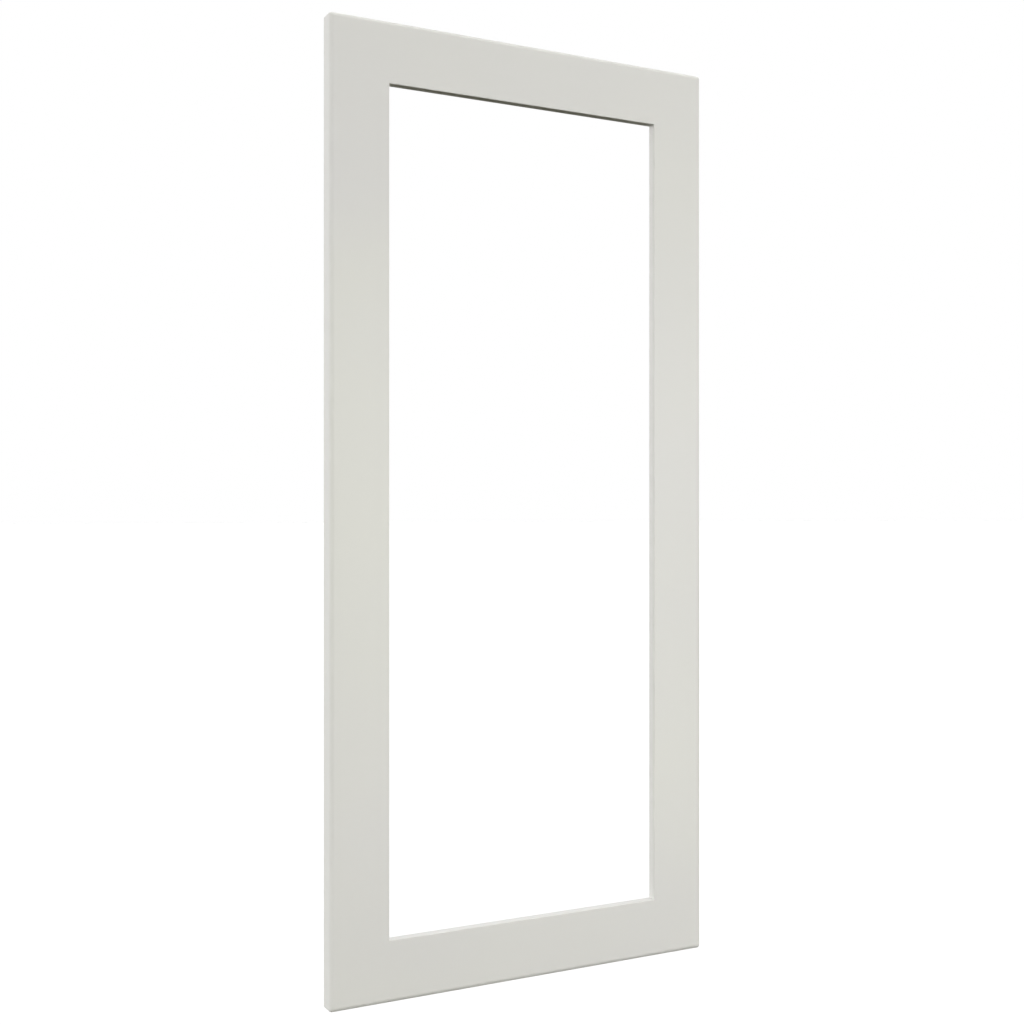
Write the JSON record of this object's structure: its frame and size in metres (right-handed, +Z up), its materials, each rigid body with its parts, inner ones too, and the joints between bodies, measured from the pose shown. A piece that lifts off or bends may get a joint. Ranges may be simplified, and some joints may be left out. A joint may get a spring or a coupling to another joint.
{
  "type": "kitchen cabinet door",
  "caption": "Tall flat painted frame door with an open centre, rounded front edges, eased corners, a glass rebate behind and blind cups for concealed hinges.",
  "frame": {"origin": "centre of the closed door's outer box", "axes": "+X across the door from the hinge stile to the free stile, +Y out of the back face towards the cabinet, +Z up the door"},
  "size_m": [0.457, 0.019, 1.016],
  "materials": {
    "painted_frame": "satin off-white lacquer over fibreboard"
  },
  "bodies": {
    "root": {"hinge_stile": "painted_frame", "free_stile": "painted_frame", "top_rail": "painted_frame", "bottom_rail": "painted_frame"}
  },
  "joints": []
}
